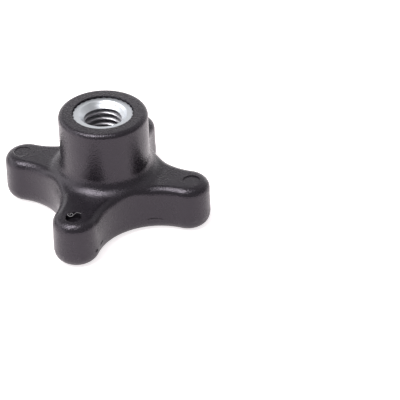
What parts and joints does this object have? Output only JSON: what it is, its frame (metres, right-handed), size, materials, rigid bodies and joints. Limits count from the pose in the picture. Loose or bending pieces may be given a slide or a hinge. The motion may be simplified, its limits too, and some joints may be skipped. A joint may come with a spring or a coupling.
{
  "type": "star knob",
  "caption": "Four-lobe plastic hand knob with a moulded-in threaded steel bush and an open through hole, for clamping by hand on a stud or screw.",
  "frame": {"origin": "centre of the grip face, on the hub axis: the middle of the bottom of the bounding box", "axes": "+Z along the hub axis from the grip face towards the clamping face; +X and +Y through two neighbouring lobes"},
  "size_m": [0.05, 0.05, 0.026],
  "materials": {
    "body_plastic": "fine spark-eroded texture, black, slight sheen",
    "bush_steel": "turned steel, bright blue-white zinc plating"
  },
  "bodies": {
    "root": {"knob_body": "body_plastic", "threaded_bush": "bush_steel"}
  },
  "joints": []
}
